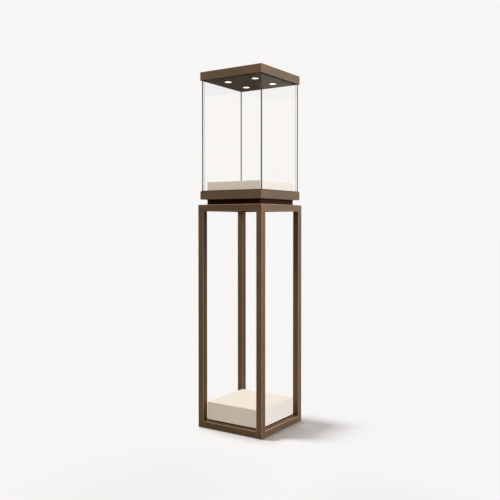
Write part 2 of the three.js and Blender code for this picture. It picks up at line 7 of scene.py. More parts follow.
import json
import logging
import math
from collections.abc import Callable, Iterable
from dataclasses import dataclass, field
from enum import Enum

import bmesh
import bpy
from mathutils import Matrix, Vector

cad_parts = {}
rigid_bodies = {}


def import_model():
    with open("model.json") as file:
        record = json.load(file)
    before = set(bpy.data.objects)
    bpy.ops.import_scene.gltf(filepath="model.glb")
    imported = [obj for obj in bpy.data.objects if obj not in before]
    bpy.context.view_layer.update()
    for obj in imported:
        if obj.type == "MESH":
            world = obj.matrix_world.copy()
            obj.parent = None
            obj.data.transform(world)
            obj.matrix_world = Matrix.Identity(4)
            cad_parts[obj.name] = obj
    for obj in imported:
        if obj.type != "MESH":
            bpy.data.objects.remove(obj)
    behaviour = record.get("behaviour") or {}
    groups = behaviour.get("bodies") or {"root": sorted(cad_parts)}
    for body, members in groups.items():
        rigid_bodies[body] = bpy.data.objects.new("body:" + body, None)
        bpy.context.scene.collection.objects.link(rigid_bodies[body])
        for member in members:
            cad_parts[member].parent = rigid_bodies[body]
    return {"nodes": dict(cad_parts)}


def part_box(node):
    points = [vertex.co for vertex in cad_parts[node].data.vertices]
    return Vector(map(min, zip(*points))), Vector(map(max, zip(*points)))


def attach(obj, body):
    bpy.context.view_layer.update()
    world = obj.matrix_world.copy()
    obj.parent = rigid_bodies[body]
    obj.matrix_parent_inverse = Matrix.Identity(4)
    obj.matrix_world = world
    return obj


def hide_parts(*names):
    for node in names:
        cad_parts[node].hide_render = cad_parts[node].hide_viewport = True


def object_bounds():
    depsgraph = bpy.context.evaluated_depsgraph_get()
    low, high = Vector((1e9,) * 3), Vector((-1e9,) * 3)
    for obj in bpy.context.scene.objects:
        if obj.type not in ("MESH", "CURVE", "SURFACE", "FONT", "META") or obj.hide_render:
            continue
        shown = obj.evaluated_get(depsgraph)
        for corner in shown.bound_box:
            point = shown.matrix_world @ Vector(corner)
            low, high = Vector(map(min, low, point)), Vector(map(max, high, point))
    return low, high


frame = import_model()
CAD_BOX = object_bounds()

LOG = logging.getLogger("display_case")
MM = 0.001
Colour = tuple[float, float, float]
Point = tuple[float, float]  # a radius and a height in the profile of a turned piece
Piece = bpy.types.Object
Node = bpy.types.Node
Socket = bpy.types.NodeSocket


class Axis(Enum):
    """A direction of the case's frame."""

    X = Vector((1, 0, 0))
    Y = Vector((0, 1, 0))
    Z = Vector((0, 0, 1))


class Part(Enum):
    """A kind of mesh element that is picked in edit mode."""

    EDGE = "EDGE"
    FACE = "FACE"


class Reach(Enum):
    """Which objects a lamp's collection stands for."""

    ONLY_THESE = "INCLUDE"
    ALL_BUT_THESE = "EXCLUDE"


# Shader maths and nodes -------

EDGE_ATTRIBUTE = "rounded_edge"
AXIS_ATTRIBUTE = "way_from_axis"
MIDDLE = 0.5  # the middle of a noise, and halfway between two colours
MIX_SHARE, MIX_FIRST, MIX_SECOND, MIX_RESULT = 0, 6, 7, 2  # the sockets of a Mix node for colours


@dataclass(frozen=True)
class Value:
    """A number that varies over a surface, with arithmetic that adds Math nodes."""

    shader: "Shader"
    socket: Socket

    def _maths(self, operation: str, first: "Value | float", second: "Value | float") -> "Value":
        """The result of a Math node for two numbers."""
        node = self.shader.node("ShaderNodeMath", {"operation": operation}, {0: first, 1: second})
        return Value(self.shader, node.outputs[0])

    def __add__(self, other: "Value | float") -> "Value":
        """The sum of two values."""
        return self._maths("ADD", self, other)

    def __radd__(self, other: float) -> "Value":
        """The sum of a number and a value."""
        return self._maths("ADD", other, self)

    def __sub__(self, other: "Value | float") -> "Value":
        """The difference of two values."""
        return self._maths("SUBTRACT", self, other)

    def __rsub__(self, other: float) -> "Value":
        """A number less a value."""
        return self._maths("SUBTRACT", other, self)

    def __mul__(self, other: "Value | float") -> "Value":
        """The product of two values."""
        return self._maths("MULTIPLY", self, other)

    def __rmul__(self, other: float) -> "Value":
        """The product of a number and a value."""
        return self._maths("MULTIPLY", other, self)


class Shader:
    """The node tree of one material or world, built from nothing."""

    def __init__(self, owner: bpy.types.Material | bpy.types.World) -> None:
        """Empties the owner's node tree.

        Args:
            owner: the material or world to build.
        """
        owner.use_nodes = True
        self.kind = "World" if isinstance(owner, bpy.types.World) else "Material"
        self.tree = owner.node_tree
        self.tree.nodes.clear()

    def node(self, kind: str, settings: dict | None = None, inputs: dict | None = None) -> Node:
        """Adds a node.

        Args:
            kind: the node's type.
            settings: its attributes, set before its sockets.
            inputs: what goes into its sockets, by name or number: a Value, a socket, or a constant.

        Returns:
            The new node.
        """
        made = self.tree.nodes.new(kind)
        for name, setting in (settings or {}).items():
            setattr(made, name, setting)
        for key, source in (inputs or {}).items():
            socket = source.socket if isinstance(source, Value) else source
            if isinstance(socket, Socket):
                self.tree.links.new(socket, made.inputs[key])
            elif made.inputs[key].type == "RGBA":
                made.inputs[key].default_value = (*socket, 1.0)
            else:
                made.inputs[key].default_value = socket
        return made

    def noise(self, grain: "Grain") -> Value:
        """Noise in object coordinates, about its middle.

        Args:
            grain: what the noise is like.

        Returns:
            A value from about -0.5 to 0.5.
        """
        place = self.node("ShaderNodeTexCoord").outputs["Object"]
        stretched = self.node("ShaderNodeVectorMath", {"operation": "MULTIPLY"}, {0: place, 1: grain.stretch})
        inputs = {"Vector": stretched.outputs["Vector"], "Scale": grain.scale, "Detail": grain.detail}
        node = self.node("ShaderNodeTexNoise", {"noise_dimensions": "3D"}, inputs)
        return Value(self, node.outputs[0]) - MIDDLE

    def attribute(self, name: str) -> Value:
        """The number that the piece's mesh carries under a name."""
        return Value(self, self.node("ShaderNodeAttribute", {"attribute_name": name}).outputs["Fac"])

    def mix(self, share: Value | float, first: Colour | Socket, second: Colour) -> Socket:
        """The socket of a colour between two, with this share of the second."""
        inputs = {MIX_SHARE: share, MIX_FIRST: first, MIX_SECOND: second}
        return self.node("ShaderNodeMix", {"data_type": "RGBA"}, inputs).outputs[MIX_RESULT]

    def bump(self, height: Value, depth: float, strength: float) -> Socket:
        """The normal of a bumped surface, on which a height of 1 stands for a depth in metres."""
        inputs = {"Strength": strength, "Distance": depth, "Height": height}
        return self.node("ShaderNodeBump", {}, inputs).outputs["Normal"]

    def looked_at(self) -> Value:
        """Tells what is seen, mirrored or seen through glass from what only gives light.

        Returns:
            1 for the first and 0 for the rest.
        """
        path = self.node("ShaderNodeLightPath")
        seen = Value(self, path.outputs["Is Camera Ray"])
        mirrored = Value(self, path.outputs["Is Glossy Ray"])
        return seen + mirrored + Value(self, path.outputs["Is Transmission Ray"])

    def blend(self, share: Value | float, first: Node, second: Node) -> Node:
        """The node of two shaders together, with this share of the second."""
        inputs = {0: share, 1: first.outputs[0], 2: second.outputs[0]}
        return self.node("ShaderNodeMixShader", {}, inputs)

    def surface(self, source: Node) -> None:
        """Sends a shader's node to the output."""
        self.node(f"ShaderNodeOutput{self.kind}", {}, {"Surface": source.outputs[0]})

    def principled(self, inputs: dict) -> None:
        """Sends a Principled shader with these inputs to the output."""
        self.surface(self.node("ShaderNodeBsdfPrincipled", {}, inputs))


# Finishes ---------------------


@dataclass(frozen=True)
class Finish:
    """What every finish has."""

    name: str
    slot: str

    def material(self) -> bpy.types.Material:
        """The finish as a material, which is built the first time it is asked for.

        Returns:
            The material.
        """
        material = bpy.data.materials.get(self.name)
        if material is None:
            material = bpy.data.materials.new(self.name)
            self.build(Shader(material))
        return material

    def build(self, shader: Shader) -> None:
        """Builds the finish's nodes in an empty shader."""
        raise NotImplementedError


@dataclass(frozen=True)
class Grain:
    """A noise over a surface, and what it does there."""

    scale: float = 1.0  # features in a metre
    detail: float = 2.0  # finer layers
    stretch: tuple[float, ...] = (1.0, 1.0, 1.0)  # what each axis is multiplied by
    tint: float = 0.0  # how far it moves the colour
    dulling: float = 0.0  # how far it moves the roughness


@dataclass(frozen=True)
class Coat(Finish):
    """Two tones mixed by a fine grain and by clouds, and a third on its edges: wear and a painted highlight.
    """

    dark: Colour = (0.02, 0.02, 0.02)
    light: Colour = (0.04, 0.04, 0.04)
    middle: float = MIDDLE  # how much of the light tone there is
    tone: float = 1.0  # what both are multiplied by, which makes lighter and darker copies that paint light and shade
    edge_wear_and_highlight: Colour | None = None  # the tone of rounded edges, where they have their own: partly wear, partly a painted highlight
    edge_wear_and_highlight_share: float = 0.35
    metallic: float = 0.0
    sheen: float = 0.5
    roughness: float = 0.6
    grain: Grain = Grain()
    cloud: Grain = Grain()
    relief: float = 0.03 * MM
    relief_share: float = 0.5

    def build(self, shader: Shader) -> None:
        """Lets the grain and the clouds turn the colour and the roughness, and the grain the surface.

        Args:
            shader: the empty node tree.
        """
        grain = shader.noise(self.grain)
        cloud = shader.noise(self.cloud)
        share = cloud * self.cloud.tint + grain * self.grain.tint + self.middle
        dark, light = (tuple(part * self.tone for part in tone) for tone in (self.dark, self.light))
        colour = shader.mix(share, dark, light)
        # rounded edges turn to a lighter tone: partly wear, partly a painted highlight where light catches
        # them
        if self.edge_wear_and_highlight is not None:
            edge_wear_and_highlight_mask = shader.attribute(EDGE_ATTRIBUTE) * self.edge_wear_and_highlight_share
            colour = shader.mix(edge_wear_and_highlight_mask, colour, self.edge_wear_and_highlight)
        shader.principled({
            "Base Color": colour,
            "Metallic": self.metallic,
            "Specular IOR Level": self.sheen,
            "Roughness": grain * self.grain.dulling + cloud * self.cloud.dulling + self.roughness,
            "Normal": shader.bump(grain, self.relief, self.relief_share),
        })


@dataclass(frozen=True)
class BronzePaint(Coat):
    """Satin bronze coat with a fine grain and lighter rounded edges, partly wear and partly a painted
    highlight.
    """

    dark: Colour = (0.1, 0.066, 0.033)
    light: Colour = (0.147, 0.079, 0.043)
    middle: float = 0.35
    edge_wear_and_highlight: Colour = (0.34, 0.245, 0.17)
    edge_wear_and_highlight_share: float = 0.85
    metallic: float = 0.4
    sheen: float = 0.06
    roughness: float = 0.41
    grain: Grain = Grain(scale=60.0, detail=3.0, tint=0.5, dulling=0.16)
    cloud: Grain = Grain(scale=7.0, tint=1.4, dulling=0.1)
    relief: float = 0.02 * MM


@dataclass(frozen=True)
class Lacquer(Coat):
    """Sprayed satin lacquer on board: an even colour with a faint orange peel."""

    dark: Colour = (0.8, 0.73, 0.618)
    light: Colour = (0.836, 0.774, 0.679)
    # the rounded edges take the light tone: partly wear, partly a painted highlight
    edge_wear_and_highlight: Colour = (0.836, 0.774, 0.679)
    sheen: float = 0.2
    roughness: float = 0.62
    grain: Grain = Grain(scale=260.0, detail=1.0)
    cloud: Grain = Grain(scale=5.0, detail=3.0, tint=1.2, dulling=0.1)
    relief: float = 0.05 * MM


@dataclass(frozen=True)
class StainedShadedBoard(Coat):
    """Board with a dark stain and a long grain, made darker still as painted shade in the gaps where it
    shows.
    """

    dark: Colour = (0.022, 0.011, 0.004)
    light: Colour = (0.05, 0.028, 0.012)
    roughness: float = 0.62
    grain: Grain = Grain(stretch=(3.0, 70.0, 70.0), detail=5.0, tint=1.6, dulling=0.2)
    relief: float = 0.1 * MM
    relief_share: float = 0.6


@dataclass(frozen=True)
class GroundGlass(Coat):
    """The ground edge of a pane, grey and dull, with the fine streaks of its grinding."""

    # lighter than the glass's own ground edge: painted light in place of the lamps that are kept off the
    # panes
    dark: Colour = (0.2, 0.204, 0.194)
    light: Colour = (0.32, 0.324, 0.31)
    sheen: float = 0.2
    roughness: float = 0.5
    grain: Grain = Grain(stretch=(350.0, 350.0, 18.0), tint=1.0, dulling=0.2)


@dataclass(frozen=True)
class Mottled(Coat):
    """A plain stuff with a fine speckle: rubber, moulded plastic, cast iron, steel or aluminium."""

    grain: Grain = Grain(scale=500.0, detail=3.0, tint=0.8, dulling=0.14)
    cloud: Grain = Grain(scale=25.0, tint=0.6)


@dataclass(frozen=True)
class ClearGlass(Finish):
    """The face of a pane: it lets the light through and mirrors a little, more at a slant."""

    ior: float = 1.31
    mirror: Colour = (1.0, 0.95, 0.86)

    def build(self, shader: Shader) -> None:
        """Mixes what passes with what is mirrored, by the angle and alike from both sides.

        Args:
            shader: the empty node tree.
        """
        behind = Value(shader, shader.node("ShaderNodeNewGeometry").outputs["Backfacing"])
        ior = behind * (1 / self.ior - self.ior) + self.ior
        mirrored = Value(shader, shader.node("ShaderNodeFresnel", {}, {"IOR": ior}).outputs[0])
        passing = shader.node("ShaderNodeBsdfTransparent")
        gloss = shader.node("ShaderNodeBsdfGlossy", {}, {"Color": self.mirror, "Roughness": 0.0})
        shader.surface(shader.blend(mirrored, passing, gloss))


@dataclass(frozen=True)
class LitLens(Finish):
    """Frosted lens with the lamp on behind it, brightest at its middle."""

    frosted: Colour = (0.9, 0.88, 0.84)
    glow: Colour = (1.0, 0.93, 0.83)
    rim: Colour = (0.1, 0.085, 0.065)
    strength: float = 3.0
    roughness: float = 0.5
    frost: Grain = Grain(scale=900.0, detail=1.0, tint=0.1, dulling=0.1)
    relief: float = 0.03 * MM
    relief_share: float = 0.4

    def build(self, shader: Shader) -> None:
        """Lets the lens shine with a faint frost in it.

        Args:
            shader: the empty node tree.
        """
        frost = shader.noise(self.frost)
        outwards = shader.attribute(AXIS_ATTRIBUTE) + frost * self.frost.tint
        shader.principled({
            "Base Color": self.frosted,
            "Roughness": frost * self.frost.dulling + self.roughness,
            "Emission Color": shader.mix(outwards, self.glow, self.rim),
            "Emission Strength": self.strength,
            "Normal": shader.bump(frost, self.relief, self.relief_share),
        })


def along_tube(axis: Axis) -> Grain:
    """The fine grain of the coat on a member of the frame.

    Args:
        axis: the axis that the member runs along.

    Returns:
        The grain.
    """
    along, across = 5.0, 900.0
    stretch = tuple(along if part else across for part in axis.value)
    return Grain(stretch=stretch, detail=3.0, tint=0.5, dulling=0.16)


# painted light and shade: the rails along X, whose front faces lie in shade, are a darker copy, those along
# Y, whose right faces are lit, a lighter one, and the posts a little lighter
# the rails along X get a weaker painted edge highlight, as their front edges face the shaded side
BRONZE_X = BronzePaint("bronze along x", "bronze", grain=along_tube(Axis.X), tone=0.88, edge_wear_and_highlight_share=0.35)
BRONZE_Y = BronzePaint("bronze along y", "bronze", grain=along_tube(Axis.Y), tone=1.18)
BRONZE_Z = BronzePaint("bronze upright", "bronze", grain=along_tube(Axis.Z), tone=1.02)
FASCIA = BronzePaint(
    "bronze sheet", "bronze",
    dark=(0.096, 0.072, 0.044), light=(0.146, 0.079, 0.042), edge_wear_and_highlight=(0.22, 0.175, 0.135),
)
# near black: a darker coat, and on the neck partly painted shade under the tray's overhang
DARK_BRONZE = BronzePaint(
    "dark bronze", "dark_bronze",
    dark=(0.04, 0.012, 0.004), light=(0.05, 0.017, 0.006), edge_wear_and_highlight=(0.08, 0.04, 0.02),
    edge_wear_and_highlight_share=0.3, roughness=0.6, metallic=0.0, sheen=0.03,
)
SOFFIT_PAINT = BronzePaint(
    "soffit bronze", "dark_bronze",
    dark=(0.054, 0.022, 0.0), light=(0.068, 0.029, 0.001), edge_wear_and_highlight=(0.1, 0.06, 0.02),
    edge_wear_and_highlight_share=0.3, roughness=0.75, metallic=0.0, sheen=0.0,
)
CREAM = Lacquer("cream lacquer", "cream_lacquer")
STAINED_SHADED_BOARD = StainedShadedBoard("stained board", "stained_board")
GLASS = ClearGlass("clear glass", "clear_glass")
GLASS_EDGE = GroundGlass("ground glass edge", "clear_glass")
# a still lighter copy for the back pane: painted light on its edges
BACK_GLASS_EDGE = GroundGlass(
    "ground glass edge of the back", "clear_glass", dark=(0.3, 0.3, 0.288), light=(0.45, 0.45, 0.43)
)
LENS = LitLens("lit lens", "lit_lens")
RUBBER = Mottled(
    "black rubber", "black_rubber", dark=(0.016, 0.008, 0.003), light=(0.03, 0.017, 0.008), sheen=0.05
)
PLASTIC = Mottled(
    "black plastic", "black_plastic", dark=(0.016, 0.016, 0.017), light=(0.03, 0.03, 0.032)
)
IRON = Mottled(
    "ballast iron", "ballast_iron", dark=(0.05, 0.05, 0.052), light=(0.09, 0.088, 0.085),
    metallic=0.7, roughness=0.65, relief=0.2 * MM,
    grain=Grain(scale=180.0, detail=3.0, tint=0.8, dulling=0.14),
)
STEEL = Mottled(
    "plain steel", "plain_steel", dark=(0.28, 0.28, 0.29), light=(0.36, 0.36, 0.37),
    metallic=0.9, roughness=0.35,
)
BLACK_STEEL = Mottled(
    "blackened steel", "plain_steel", dark=(0.04, 0.037, 0.034), light=(0.06, 0.055, 0.05),
    metallic=0.8, roughness=0.42,
)
ALUMINIUM = Mottled(
    "heat sink aluminium", "heat_sink_aluminium", dark=(0.45, 0.46, 0.47), light=(0.55, 0.56, 0.57),
    metallic=0.95, roughness=0.4,
)
WRAP = Mottled(
    "battery wrap", "battery_wrap", dark=(0.025, 0.06, 0.11), light=(0.035, 0.075, 0.13), roughness=0.3
)


# Modelling --------------------

SMOOTH_ANGLE = math.radians(40)
ROUNDED_ANGLE = math.radians(50)  # a softened copy's edges are rounded where they turn more than this
SAME_PLANE = math.radians(1)  # and its faces are joined where they turn less than this
SOFT_FLATS = 3
FLAT = 0.999  # a normal this straight along an axis is that of a flat face, not of a rounded edge
SAME_PLACE = 1e-6
DOWN, OUT, UP = -90, 0, 90  # angles in a profile, in degrees
SHANK_SHARE = 0.5  # of a screw's head, and so is the next one
SOCKET_SHARE = 0.45
FOUR = range(1, 5)  # the numbers of pieces that come in fours


def middle_of(node: str) -> Vector:
    """The middle of a node of the frame in plan, at height 0."""
    low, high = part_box(node)
    return Vector(((low.x + high.x) / 2, (low.y + high.y) / 2, 0))


def half_width(node: str) -> float:
    """Half of what a node of the frame measures along X."""
    low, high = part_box(node)
    return (high.x - low.x) / 2


def added(name: str, data: bpy.types.ID) -> Piece:
    """A new object of the scene.

    Args:
        name: its name.
        data: its mesh, lamp or camera.

    Returns:
        The object.
    """
    made = bpy.data.objects.new(name, data)
    bpy.context.scene.collection.objects.link(made)
    return made


def only(piece: Piece) -> None:
    """Selects one object and nothing else.

    Args:
        piece: the object to select and make active.
    """
    bpy.ops.object.select_all(action="DESELECT")
    piece.select_set(True)
    bpy.context.view_layer.objects.active = piece


def settle(piece: Piece) -> Piece:
    """Puts an object's place, turn and size into its mesh.

    Args:
        piece: the object, which ends at the origin.

    Returns:
        The same object.
    """
    only(piece)
    bpy.ops.object.transform_apply(location=True, rotation=True, scale=True)
    return piece


def block(name: str, low: Vector, high: Vector) -> Piece:
    """A box between two corners, to be shaped further.

    Args:
        name: the piece's name.
        low: its lowest corner.
        high: its highest corner.

    Returns:
        The new piece.
    """
    bpy.ops.mesh.primitive_cube_add(size=1, location=(low + high) / 2, scale=high - low)
    piece = bpy.context.object
    piece.name = name
    return settle(piece)


def modify(piece: Piece, kind: str, settings: dict) -> None:
    """Applies a modifier to a piece.

    Args:
        piece: the piece.
        kind: the modifier's type.
        settings: its attributes.
    """
    only(piece)
    modifier = piece.modifiers.new(kind, kind)
    for name, setting in settings.items():
        setattr(modifier, name, setting)
    bpy.ops.object.modifier_apply(modifier=modifier.name)


def runs_along(edge: bmesh.types.BMEdge, axis: Axis) -> bool:
    """Whether an edge runs along an axis."""
    run = (edge.verts[1].co - edge.verts[0].co).normalized()
    return abs(run.dot(axis.value)) > FLAT


@dataclass
class Bench:
    """Edit mode on one piece, whose parts are picked by their place or direction."""

    piece: Piece

    def __enter__(self) -> "Bench":
        """Enters edit mode.

        Returns:
            The bench.
        """
        only(self.piece)
        bpy.ops.object.mode_set(mode="EDIT")
        return self

    def __exit__(self, *_: object) -> None:
        """Leaves edit mode."""
        bpy.ops.object.mode_set(mode="OBJECT")

    def pick(self, part: Part, test: Callable[[bmesh.types.BMEdge | bmesh.types.BMFace], bool]) -> None:
        """Selects the edges or faces that pass a test, and nothing else.

        Args:
            part: what is picked.
            test: says whether one is picked.
        """
        bpy.ops.mesh.select_mode(type=part.value)
        bpy.ops.mesh.select_all(action="DESELECT")
        mesh = bmesh.from_edit_mesh(self.piece.data)
        for element in mesh.edges if part is Part.EDGE else mesh.faces:
            element.select_set(test(element))
        mesh.select_flush_mode()
        bmesh.update_edit_mesh(self.piece.data)

    def edges_along(self, axis: Axis) -> None:
        """Picks the edges that run along an axis."""
        self.pick(Part.EDGE, lambda edge: runs_along(edge, axis))

    def edges_at(self, height: float) -> None:
        """Picks the level edges at a height."""
        self.pick(Part.EDGE, lambda edge: all(abs(end.co.z - height) < SAME_PLACE for end in edge.verts))

    def faces_towards(self, direction: Vector) -> None:
        """Picks the flat faces that look in a direction, given with length 1."""
        self.pick(Part.FACE, lambda face: face.normal.dot(direction) > FLAT)

    def bevel(self, width: float, segments: int = 4) -> None:
        """Rounds the picked edges by a radius, with so many flats."""
        bpy.ops.mesh.bevel(offset=width, offset_type="OFFSET", segments=segments, profile=0.5, affect="EDGES")

    def inset(self, thickness: float) -> None:
        """Insets the picked face by a thickness."""
        bpy.ops.mesh.inset(thickness=thickness, use_even_offset=True)

    def push(self, move: Vector) -> None:
        """Extrudes what is picked by a move."""
        bpy.ops.mesh.extrude_region_move(TRANSFORM_OT_translate={"value": move})

    def draw_in(self, factor: float, centre: Vector) -> None:
        """Scales what is picked by a factor, about the upright axis through a centre."""
        bpy.ops.transform.resize(value=(factor, factor, 1), center_override=centre)

    def cut(self, point: Vector, direction: Vector) -> None:
        """Cuts the piece through a point and drops the side that a direction points to."""
        bpy.ops.mesh.select_all(action="SELECT")
        bpy.ops.mesh.bisect(plane_co=point, plane_no=direction, clear_outer=True, use_fill=True)

    def close_up(self) -> None:
        """Merges doubled vertices and turns all faces outwards."""
        bpy.ops.mesh.select_all(action="SELECT")
        bpy.ops.mesh.remove_doubles(threshold=SAME_PLACE)
        bpy.ops.mesh.normals_make_consistent(inside=False)


def turned(name: str, profile: Iterable[Point], segments: int = 64) -> Piece:
    """A solid turned about the Z axis.

    Args:
        name: the piece's name.
        profile: its points. A profile that ends on its first point makes a ring; any other starts
            with a flat end and ends with one, or at the axis.
        segments: how many flats go round.

    Returns:
        The new piece.
    """
    points = list(profile)
    ring = points[0] == points[-1]
    bpy.ops.mesh.primitive_circle_add(
        vertices=segments,
        radius=points[0][0],
        location=(0, 0, points[0][1]),
        fill_type="NOTHING" if ring else "NGON",
    )
    piece = bpy.context.object
    piece.name = name
    settle(piece)
    with Bench(piece) as bench:
        bpy.ops.mesh.select_mode(type=(Part.EDGE if ring else Part.FACE).value)
        bpy.ops.mesh.select_all(action="SELECT")
        for (radius, height), (next_radius, next_height) in zip(points, points[1:]):
            bench.push(Vector((0, 0, next_height - height)))
            bench.draw_in(next_radius / radius, Vector((0, 0, next_height)))
        bench.close_up()
    return piece


def arc(centre: Point, radius: float, start: float, end: float, steps: int = 4) -> list[Point]:
    """Points of an arc in a profile, between angles in degrees, of which 0 is outwards and 90 upwards."""
    angles = (math.radians(start + (end - start) * step / steps) for step in range(steps + 1))
    return [(centre[0] + radius * math.cos(a), centre[1] + radius * math.sin(a)) for a in angles]


def shoulder(radius: float, top: float, rounding: float, steps: int = 4) -> list[Point]:
    """Points of the rounded corner where the side of a turned piece meets its top."""
    return arc((radius - rounding, top - rounding), rounding, OUT, UP, steps)


def copy_at(piece: Piece, name: str, place: Vector, turn: tuple = (0, 0, 0)) -> Piece:
    """A copy of a piece with its own mesh.

    Args:
        piece: the piece to copy, built at the origin.
        name: the copy's name.
        place: where the origin of the copy goes.
        turn: how it is turned there, about X, Y and Z.

    Returns:
        The copy.
    """
    copy = added(name, piece.data.copy())
    copy.location = place
    copy.rotation_euler = turn
    return settle(copy)


def softened_copy(node: str, width: float) -> Piece:
    """A copy of a node of the frame, with its doubled vertices merged and its edges rounded.

    Args:
        node: the node.
        width: the radius of its edges.

    Returns:
        The copy.
    """
    piece = added(f"{node}_finished", frame["nodes"][node].data.copy())
    piece.data.materials.clear()
    with Bench(piece):
        bpy.ops.mesh.select_all(action="SELECT")
        bpy.ops.mesh.remove_doubles(threshold=SAME_PLACE)
        bpy.ops.mesh.dissolve_limited(angle_limit=SAME_PLANE)
    settings = {"width": width, "segments": SOFT_FLATS, "limit_method": "ANGLE", "angle_limit": ROUNDED_ANGLE}
    modify(piece, "BEVEL", settings)
    return piece


def mark_edges(piece: Piece) -> None:
    """Writes which faces of a piece are part of a rounded edge.

    Args:
        piece: a piece whose main faces look along the axes.
    """
    attribute = piece.data.attributes.new(EDGE_ATTRIBUTE, "FLOAT", "CORNER")
    for polygon in piece.data.polygons:
        straight = max(abs(part) for part in polygon.normal) > FLAT
        for corner in polygon.loop_indices:
            attribute.data[corner].value = 0.0 if straight else 1.0


def smooth(piece: Piece) -> None:
    """Smooths the rounded faces of a piece and keeps its large faces flat.

    Args:
        piece: the piece.
    """
    only(piece)
    bpy.ops.object.shade_smooth_by_angle(angle=SMOOTH_ANGLE)
    modify(piece, "WEIGHTED_NORMAL", {"mode": "FACE_AREA", "keep_sharp": True})


def mark_way_out(piece: Piece, radius: float) -> None:
    """Writes how far each point of a turned piece lies from its axis.

    Args:
        piece: the piece, on the Z axis.
        radius: what counts as 1.
    """
    attribute = piece.data.attributes.new(AXIS_ATTRIBUTE, "FLOAT", "POINT")
    for vertex in piece.data.vertices:
        attribute.data[vertex.index].value = vertex.co.xy.length / radius


@dataclass
class SubAssembly:
    """A group of pieces that ride on one body of the case."""

    body: str

    def hand_over(self, piece: Piece, finish: Finish, nodes: Iterable[str], edged: bool = True) -> None:
        """Dresses a finished piece and sets it on its body.

        Args:
            piece: the piece, in its place.
            finish: its finish.
            nodes: the nodes of the frame that it stands for.
            edged: whether its rounded edges are marked.
        """
        if edged:
            mark_edges(piece)
        smooth(piece)
        if not piece.data.materials:
            piece.data.materials.append(finish.material())
        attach(piece, self.body)
        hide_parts(*nodes)
        LOG.info("%s: %d faces", piece.name, len(piece.data.polygons))

    def stand_in(self, model: Piece, name: str, node: str, finish: Finish) -> None:
        """Hands over a copy of a turned piece, in the middle of the node that it stands for."""
        self.hand_over(copy_at(model, name, middle_of(node)), finish, [node], edged=False)

    def soften(self, node: str, width: float, finish: Finish) -> None:
        """Hands over a copy of a node, its edges rounded by a width."""
        self.hand_over(softened_copy(node, width), finish, [node])

    def dress(self, node: str, finish: Finish) -> None:
        """Gives a node of the frame that keeps its own shape its finish.

        Args:
            node: the node.
            finish: its finish.
        """
        shown = frame["nodes"][node]
        shown.data.materials.clear()
        shown.data.materials.append(finish.material())
        LOG.info("%s keeps its shape", node)


# Sub-assemblies ---------------

SIDES = ("front", "right", "back", "left")
CORNERS = ("front_left", "front_right", "back_right", "back_left")


@dataclass
class OpenFrame(SubAssembly):
    """The welded frame: two mitred rings of square tube, four posts, a base plate and glides."""

    body: str = "stand"
    tube_corner: float = 2 * MM
    glide_round: float = 0.7 * MM
    glide_flats: int = 5
    half: float = field(default_factory=lambda: -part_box("post_front_left")[0].x)  # of the frame
    tube: float = field(default_factory=lambda: 2 * half_width("post_front_left"))

    def rounded_bar(self, name: str, low: Vector, high: Vector, axis: Axis) -> Piece:
        """A length of square tube with its long edges rounded.

        Args:
            name: the piece's name.
            low: its lowest corner.
            high: its highest corner.
            axis: the way it runs.

        Returns:
            The new piece.
        """
        bar = block(name, low, high)
        with Bench(bar) as bench:
            bench.edges_along(axis)
            bench.bevel(self.tube_corner)
        return bar

    def rail(self) -> Piece:
        """The front rail of a ring, mitred at both ends, with its underside at height 0.

        Returns:
            The rail.
        """
        half, tube = self.half, self.tube
        rail = self.rounded_bar("rail", Vector((-half, -half, 0)), Vector((half, tube - half, tube)), Axis.X)
        with Bench(rail) as bench:
            bench.cut(Vector(), Vector((1, 1, 0)))
            bench.cut(Vector(), Vector((-1, 1, 0)))
        corners = Vector((-half, -half, -tube)), Vector((half, half, 2 * tube))
        outline = self.rounded_bar("outline", *corners, Axis.Z)
        modify(rail, "BOOLEAN", {"operation": "INTERSECT", "solver": "EXACT", "object": outline})
        bpy.data.objects.remove(outline)
        return rail

    def build(self) -> None:
        """Builds the rings, the posts and the glides, and dresses the base plate."""
        rail = self.rail()
        for level in ("bottom", "top"):
            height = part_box(f"{level}_rail_front")[0].z
            for quarter, side in enumerate(SIDES):
                turn = (0, 0, quarter * math.pi / 2)
                piece = copy_at(rail, f"{level}_{side}_rail", Vector((0, 0, height)), turn)
                finish = BRONZE_X if side in ("front", "back") else BRONZE_Y
                self.hand_over(piece, finish, [f"{level}_rail_{side}"])
        bpy.data.objects.remove(rail)
        weld = Vector((0, 0, self.tube_corner))  # each post's welds fill the round edges of the rings
        for corner in CORNERS:
            low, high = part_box(f"post_{corner}")
            post = self.rounded_bar(f"{corner}_post", low - weld, high + weld, Axis.Z)
            self.hand_over(post, BRONZE_Z, [f"post_{corner}"])
        self.build_glides()
        self.dress("base_plate", DARK_BRONZE)

    def build_glides(self) -> None:
        """Builds the four glides under the corners."""
        node = f"glide_{CORNERS[0]}"
        radius, edge = half_width(node), self.glide_round
        foot = arc((radius - edge, edge), edge, DOWN, OUT, self.glide_flats)
        glide = turned("glide", [*foot, (radius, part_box(node)[1].z)])
        for corner in CORNERS:
            self.stand_in(glide, f"{corner}_glide", f"glide_{corner}", PLASTIC)
        bpy.data.objects.remove(glide)


